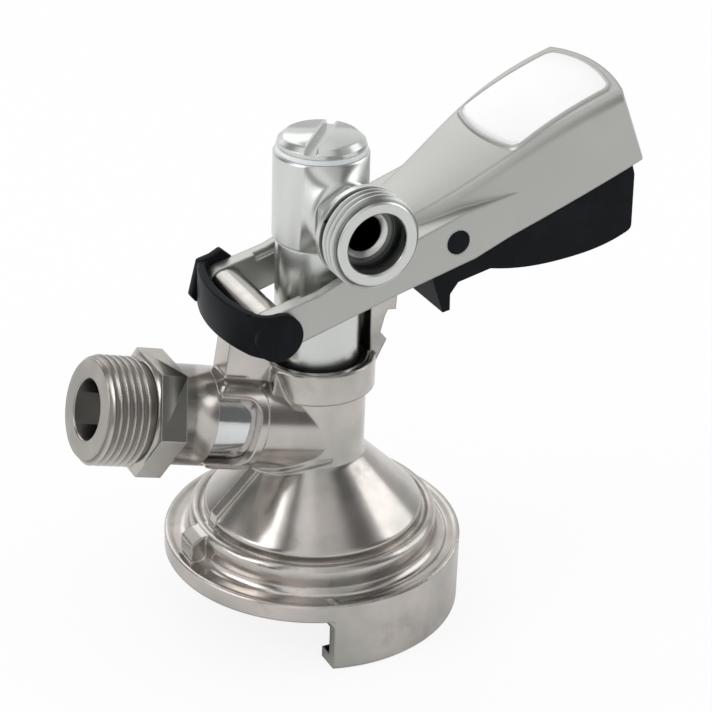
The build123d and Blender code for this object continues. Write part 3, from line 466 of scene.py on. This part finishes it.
def pivotStrap(values):
    pivot, half = values["pivot"], values["half"]
    bm = bmesh.new()
    # the band's section, drawn out of the near cap and swung round the lever's fork in three arcs
    corners = [(-half + side * values["thick"] / 2, level) for side, level in
               ((-1, values["low"]), (1, values["low"]), (1, values["high"]), (-1, values["high"]))]
    face = bm.faces.new([bm.verts.new(pivot + Vector((0, across, level))) for across, level in corners])
    moved = bmesh.ops.extrude_face_region(bm, geom=[face])["geom"]
    bmesh.ops.translate(bm, verts=only(bmesh.types.BMVert, moved), vec=(-values["start"], 0, 0))
    swing = math.radians(values["swing"])
    corner = values["corner"]
    sweep = (half - corner) / math.sin(swing) + corner
    reach = values["start"] - (sweep - corner) * math.cos(swing)
    last = only(bmesh.types.BMFace, moved)
    arcs = [((values["start"], corner - half), math.pi / 2 - swing, 8), ((reach, 0), 2 * swing, 24),
            ((values["start"], half - corner), math.pi / 2 - swing, 8)]
    for (out, across), angle, steps in arcs:
        last = bmesh.ops.spin(bm, geom=last, cent=pivot + Vector((-out, across, 0)), axis=(0, 0, -1),
                              dvec=(0, 0, 0), angle=angle, steps=steps, use_merge=False)["geom_last"]
        last = only(bmesh.types.BMFace, last)
    # the lower edge rises towards the middle of the band
    for vert in bm.verts:
        out = min(1, max(0, (pivot.x - vert.co.x) / values["riseReach"]))
        if vert.co.z < pivot.z:
            vert.co.z += values["rise"] * out * out * (3 - 2 * out)
    # the caps over the two ends of the pin, and the thumb tab on the far one
    discDepth = values["discTo"] - values["discFrom"]
    cap = bmesh.ops.create_cone(bm, cap_ends=True, segments=64, radius1=values["disc"],
                                radius2=values["disc"], depth=discDepth)["verts"]
    bmesh.ops.rotate(bm, verts=cap, cent=(0, 0, 0), matrix=Matrix.Rotation(math.pi / 2, 3, "X"))
    bmesh.ops.translate(bm, verts=cap, vec=pivot - Vector((0, values["discFrom"] + discDepth / 2, 0)))
    far = bm.faces.new([bm.verts.new(pivot + Vector((along * mm, values["discFrom"], level * mm)))
                        for along, level in values["tab"]])
    moved = bmesh.ops.extrude_face_region(bm, geom=[far])["geom"]
    bmesh.ops.translate(bm, verts=only(bmesh.types.BMVert, moved), vec=(0, discDepth, 0))
    bmesh.ops.recalc_face_normals(bm, faces=bm.faces)
    bmesh.ops.bevel(bm, geom=sharpEdges(bm), offset=values["edge"], affect="EDGES", segments=3,
                    profile=0.5, material=-1)
    return finishPiece("pivotStrap", bm, "lever", strapBlack, "pivot_strap")


pivotStrap(strapValues)

labelValues = {"from": 69.2 * mm, "to": 101.2 * mm, "thick": 0.35 * mm, "wall": 0.4 * mm,
               "lip": [(0.15 * mm, 0.52 * mm), (0.75 * mm, 0.48 * mm), (1.15 * mm, -0.1 * mm)]}
dropHeight = 60 * mm
facingOut = 0.5
hoodSkin = BVHTree.FromPolygons([vert.co for vert in nodes["lever_arm"].data.vertices],
                                [face.vertices for face in nodes["lever_arm"].data.polygons])


# puts a vertex on the hood's skin, or a little above it
def dropOnHood(vert, along, across, lift):
    above = leverPivot + leverAlong * along + Vector((0, across, 0)) + leverOut * dropHeight
    vert.co = hoodSkin.ray_cast(above, -leverOut)[0] + leverOut * lift


def labelPieces(values):
    # the plate, drawn out to its full length on the hood's skin
    bm = copyOf("label_plate")
    bmesh.ops.recalc_face_normals(bm, faces=bm.faces)
    bmesh.ops.delete(bm, geom=[face for face in bm.faces if face.normal.dot(leverOut) < facingOut],
                     context="FACES")
    places = [((vert.co - leverPivot).dot(leverAlong), vert.co.y) for vert in bm.verts]
    first, last = min(along for along, across in places), max(along for along, across in places)
    stretch = (values["to"] - values["from"]) / (last - first)
    for vert, (along, across) in zip(bm.verts, places):
        dropOnHood(vert, values["from"] + (along - first) * stretch, across, values["thick"])
    # a fine raised lip cast round it
    lip = bm.copy()
    plate = lip.faces[:]
    middle = (values["from"] + values["to"]) / 2
    halfLong = middle - values["from"]
    halfWide = max(across for along, across in places)
    rim = [edge for edge in lip.edges if edge.is_boundary]
    before = 0
    for width, lift in values["lip"]:
        moved = bmesh.ops.extrude_edge_only(lip, edges=rim)["geom"]
        rim = only(bmesh.types.BMEdge, moved)
        step = width - before
        for vert in only(bmesh.types.BMVert, moved):
            along, across = (vert.co - leverPivot).dot(leverAlong), vert.co.y
            dropOnHood(vert, middle + (along - middle) * (1 + step / halfLong),
                       across * (1 + step / halfWide), lift)
        before = width
    bmesh.ops.delete(lip, geom=plate, context="FACES")
    bmesh.ops.recalc_face_normals(lip, faces=lip.faces)
    walls = bmesh.ops.extrude_edge_only(bm, edges=[edge for edge in bm.edges if edge.is_boundary])["geom"]
    bmesh.ops.translate(bm, verts=only(bmesh.types.BMVert, walls), vec=-leverOut * values["wall"])
    return (finishPiece("labelFace", bm, "lever", labelWhite, "label_plate"),
            finishPiece("labelLip", lip, "lever", leverNickel, angle=60))


labelFace, labelLip = labelPieces(labelValues)

capValues = {"turn": math.radians(-33)}


# the cap as it stands once tight: its slot turned round the head's axis
def capScrew(values):
    bm = copyOf("head_cap_screw")
    bmesh.ops.rotate(bm, verts=bm.verts, cent=(0, 0, 0), matrix=Matrix.Rotation(values["turn"], 3, "Z"))
    bmesh.ops.recalc_face_normals(bm, faces=bm.faces)
    return finishPiece("capScrew", bm, "probe", probeSteel, "head_cap_screw", angle=15)


capScrew(capValues)

patchValues = {"foot": [(81.533, 13.0, 114.622), (81.26, 14.14, 114.51), (80.964, 15.2, 114.379)],
               "rise": (-0.4025, 0.0103, 0.9154), "out": (0.885, 0.27, 0.375),
               "levels": (7.6 * mm, 10.6 * mm), "proud": 0.03 * mm, "thick": 0.5 * mm}


# the end wall of the grip, made whole where the trigger's pocket comes through at its two corners
def gripPatches(values):
    bm = bmesh.new()
    for side in (1, -1):
        rise, out = [Vector((way[0], way[1] * side, way[2])).normalized()
                     for way in (values["rise"], values["out"])]
        layers = []
        for depth in (values["proud"], values["proud"] - values["thick"]):
            layers.append([[bm.verts.new(Vector((x, y * side, z)) * mm + rise * level + out * depth)
                            for level in values["levels"]] for x, y, z in values["foot"]])
        front, rear = layers
        for one, two in ((0, 1), (1, 2)):
            for layer in layers:
                bm.faces.new((layer[one][0], layer[two][0], layer[two][1], layer[one][1]))
            for level in (0, 1):
                bm.faces.new((front[one][level], rear[one][level], rear[two][level], front[two][level]))
        for column in (0, 2):
            bm.faces.new((front[column][0], front[column][1], rear[column][1], rear[column][0]))
    bmesh.ops.recalc_face_normals(bm, faces=bm.faces)
    return finishPiece("gripPatches", bm, "lever", patchNickel)


gripPatches(patchValues)

coilValues = {
    "triggerCoil": {"node": "trigger_spring", "bodies": ("lever", "trigger"),
                    "held": Vector((49.0, 0, 119.3)) * mm, "pushed": Vector((55.7, 0, 94.5)) * mm},
    "checkCoil": {"node": "gas_check_spring", "bodies": ("coupler_body", "check_ball"),
                  "held": gasOrigin + gasWay * 18.4 * mm, "pushed": gasOrigin + gasWay * 28.2 * mm}}


# a spring copied from its node into a piece of its own, which takes the node's place where it stands
def springCoil(name, values):
    bm = copyOf(values["node"])
    bmesh.ops.recalc_face_normals(bm, faces=bm.faces)
    piece = finishPiece(name, bm, None, springWire, values["node"])
    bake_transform(piece)
    return piece


for name, values in coilValues.items():
    springCoil(name, values)

white = (1, 1, 1, 1)
floorValues = {"size": 3.0, "colour": (0.93, 0.93, 0.93, 1), "glow": 0.87}
floorMesh = bpy.data.meshes.new("floor")
bm = bmesh.new()
bmesh.ops.create_grid(bm, x_segments=1, y_segments=1, size=floorValues["size"])
bm.to_mesh(floorMesh)
bm.free()
floor = bpy.data.objects.new("floor", floorMesh)
bpy.context.scene.collection.objects.link(floor)
floorPaint = newPaint("paleFloor", {"Roughness": 0.9, "Specular IOR Level": 0.1,
                                    "Base Color": floorValues["colour"]})
floorMesh.materials.append(floorPaint.material)
paths = floorPaint.node("ShaderNodeLightPath", {}, {})
seen = Signal(floorPaint, paths.socket.node.outputs["Is Camera Ray"])
glow = floorPaint.node("ShaderNodeEmission", {}, {"Color": white, "Strength": 1.0})
body = Signal(floorPaint, floorPaint.shader.outputs[0])
shown = floorPaint.node("ShaderNodeMixShader", {}, {0: seen * floorValues["glow"], 1: body, 2: glow})
floorPaint.feed(floorPaint.tree.nodes["Material Output"].inputs["Surface"], shown)

world = bpy.data.worlds.new("studio")
bpy.context.scene.world = world
world.use_nodes = True
room = Paint(world.node_tree)
room.tree.nodes.clear()
# the screens round the object: each stop's bearing as a share of the full turn, and how bright it is
roomValues = {
    "base": 0.80, "floorTone": (0.85, 0.85, 0.85, 1), "ceiling": [(0.90, 0), (0.95, 1)],
    "floor": [(0.0, 1), (0.04, 0)],
    "screens": [(0.0, 1.0), (0.050, 1.0), (0.060, 0.12), (0.092, 0.12), (0.102, 1.0), (0.165, 1.0),
                (0.20, 0.70), (0.29, 0.60), (0.335, 0.16), (0.385, 0.16), (0.42, 0.65), (0.52, 0.50),
                (0.60, 0.85), (0.76, 1.0), (0.82, 0.30), (0.89, 0.25), (0.93, 1.0)]}
direction = room.node("ShaderNodeTexCoord", {}, {}, "Generated")
split = room.node("ShaderNodeSeparateXYZ", {}, {0: direction})
across, depth, height = [Signal(room, split.socket.node.outputs[axis]) for axis in "XYZ"]
turnShare = 0.5 / math.pi
bearing = room.node("ShaderNodeMath", {"operation": "ARCTAN2"}, {0: depth, 1: across}) * turnShare + 0.5
screens = room.ramp(bearing, roomValues["screens"])
ceiling = room.ramp(height, roomValues["ceiling"])
below = room.ramp(height, roomValues["floor"])
tone = room.blend(ceiling, screens, white)
tone = room.blend(below, tone, roomValues["floorTone"])
rays = room.node("ShaderNodeLightPath", {}, {}).socket.node.outputs
camera = Signal(room, rays["Is Camera Ray"])
glossy = Signal(room, rays["Is Glossy Ray"])
through = Signal(room, rays["Is Transmission Ray"])
plain = room.node("ShaderNodeBackground", {}, {"Color": white, "Strength": roomValues["base"]})
mirrored = room.node("ShaderNodeBackground", {}, {"Color": tone, "Strength": 1.0})
backdrop = room.node("ShaderNodeBackground", {}, {"Color": white, "Strength": 1.0})
shown = room.node("ShaderNodeMixShader", {}, {0: glossy, 1: plain, 2: mirrored})
shown = room.node("ShaderNodeMixShader", {}, {0: camera + through, 1: shown, 2: backdrop})
outlet = room.tree.nodes.new("ShaderNodeOutputWorld")
room.feed(outlet.inputs["Surface"], shown)

lampValues = {"key": {"at": (-0.68, 0.04, 0.60), "size": 0.5, "power": 1.5},
              "fill": {"at": (0.75, -0.12, 0.45), "size": 0.6, "power": 1.2},
              "back": {"at": (-0.05, 0.80, 0.68), "size": 0.7, "power": 1.0}}
aim = Vector((0.01, 0, 0.06))
for name, lamp in lampValues.items():
    light = bpy.data.lights.new(name, "AREA")
    light.shape = "DISK"
    light.size = lamp["size"]
    light.energy = lamp["power"]
    holder = bpy.data.objects.new(name, light)
    bpy.context.scene.collection.objects.link(holder)
    holder.location = lamp["at"]
    holder.rotation_euler = (aim - holder.location).to_track_quat("-Z", "Y").to_euler()

cameraValues = {"at": (-214.5, -416.4, 314.6), "turn": -28.45, "tip": 27.77, "roll": 1.98, "lens": 108.27}
turn, tip, roll = [math.radians(cameraValues[name]) for name in ("turn", "tip", "roll")]
back = Vector((math.sin(turn) * math.cos(tip), -math.cos(turn) * math.cos(tip), math.sin(tip)))
right = Vector((math.cos(turn), math.sin(turn), 0))
up = back.cross(right)
tiltedRight = right * math.cos(roll) + up * math.sin(roll)
tiltedUp = up * math.cos(roll) - right * math.sin(roll)
lensData = bpy.data.cameras.new("camera")
lensData.lens = cameraValues["lens"]
lensData.sensor_width = 36
lensData.clip_start = 0.01
eye = bpy.data.objects.new("camera", lensData)
bpy.context.scene.collection.objects.link(eye)
turned = Matrix((tiltedRight, tiltedUp, back)).transposed().to_4x4()
eye.matrix_world = Matrix.Translation(Vector(cameraValues["at"]) * mm) @ turned
bpy.context.scene.camera = eye
bpy.context.scene.view_settings.view_transform = "Standard"
print("room and camera set")
